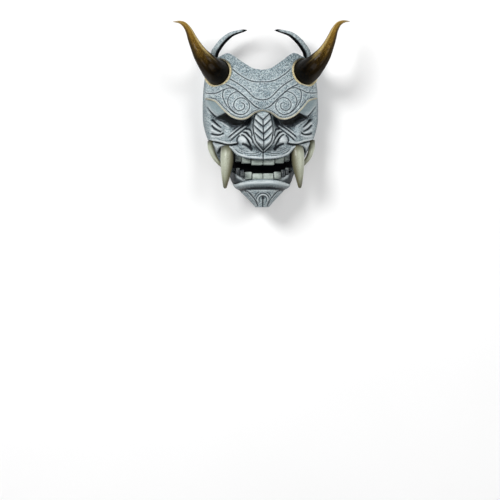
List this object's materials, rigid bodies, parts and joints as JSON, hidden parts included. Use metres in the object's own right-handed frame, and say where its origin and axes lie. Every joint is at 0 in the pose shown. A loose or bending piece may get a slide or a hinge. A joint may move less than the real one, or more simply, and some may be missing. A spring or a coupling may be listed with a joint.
{
  "type": "costume mask",
  "caption": "Horned demon face mask of cast latex with carved brows, a scaled nose, bared teeth, long tusks, big curved horns and a notched forehead edge.",
  "frame": {"origin": "on the surface under the back rim, below the middle of the box round the lying mask", "axes": "the mask lies face up: +Z out of the face, +Y from chin to forehead, +X to the wearer's left"},
  "size_m": [0.274, 0.2888, 0.1136],
  "materials": {
    "skin": "matt cast latex, grey-blue dry-brushed over a dark wash in the grooves",
    "horn": "gloss lacquer, black at the root fading to brown, gold and a pale tip",
    "tusk": "satin cream ivory paint, darker at the root"
  },
  "bodies": {
    "root": {"mask_skin": "skin", "horn_left": "horn", "horn_right": "horn", "tusk_front_left": "tusk", "tusk_front_right": "tusk", "tusk_rear_left": "tusk", "tusk_rear_right": "tusk"}
  },
  "joints": []
}
